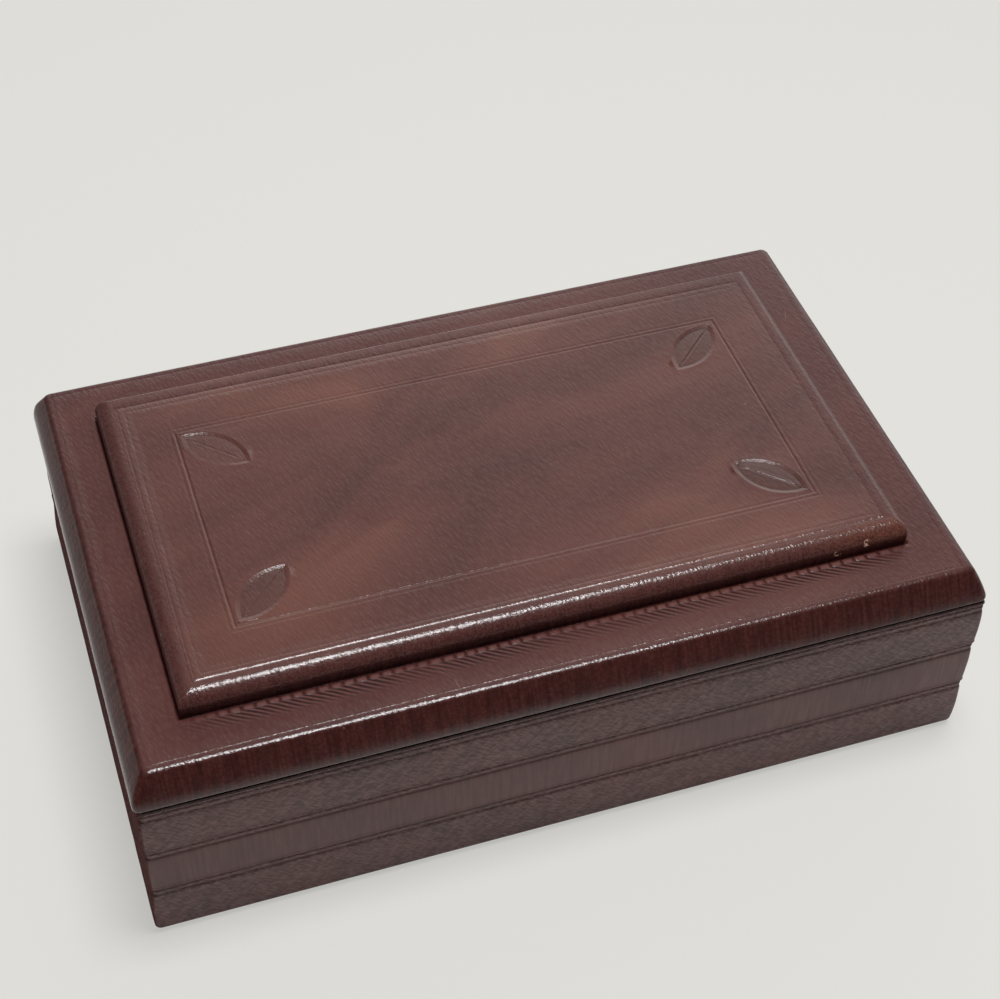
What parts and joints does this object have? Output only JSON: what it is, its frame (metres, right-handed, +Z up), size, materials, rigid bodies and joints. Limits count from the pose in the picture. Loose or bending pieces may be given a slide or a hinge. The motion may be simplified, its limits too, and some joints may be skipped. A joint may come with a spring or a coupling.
{
  "type": "trinket box",
  "caption": "Low rectangular hinged box covered in tooled brown leather, with a stepped lid over a lined inside for trinkets and papers.",
  "frame": {"origin": "centre of the felt's underside, on the surface that the box stands on", "axes": "+X along the box's length, -Y towards its front, +Z up"},
  "size_m": [0.18, 0.1156, 0.054],
  "materials": {
    "lid_leather": "polished calf, dark red-brown",
    "wall_leather": "calf, less polished, grey-brown",
    "carcass_wood": "unfinished beech",
    "lining": "wine-red velvet",
    "felt": "dark green baize",
    "brass": "polished, a little dull"
  },
  "bodies": {
    "base": {"front_wall": "carcass_wood", "back_wall": "carcass_wood", "left_wall": "carcass_wood", "right_wall": "carcass_wood", "floor_board": "carcass_wood", "wall_leather": "wall_leather", "base_felt": "felt", "floor_lining": "lining", "front_lining": "lining", "back_lining": "lining", "left_lining": "lining", "right_lining": "lining", "left_hinge_base_leaf": "brass", "right_hinge_base_leaf": "brass", "left_hinge_pin": "brass", "right_hinge_pin": "brass", "base_hinge_screws": "brass"},
    "lid": {"lid_board": "carcass_wood", "raised_panel": "carcass_wood", "lid_leather": "lid_leather", "lid_lining": "lining", "left_hinge_lid_leaf": "brass", "right_hinge_lid_leaf": "brass", "lid_hinge_screws": "brass"}
  },
  "joints": [
    {"name": "lid_hinge", "type": "hinge", "parent": "base", "child": "lid", "pos_m": [0, 0.0558, 0.04125], "axis": [-1, 0, 0], "range_deg": [0, 100]}
  ]
}
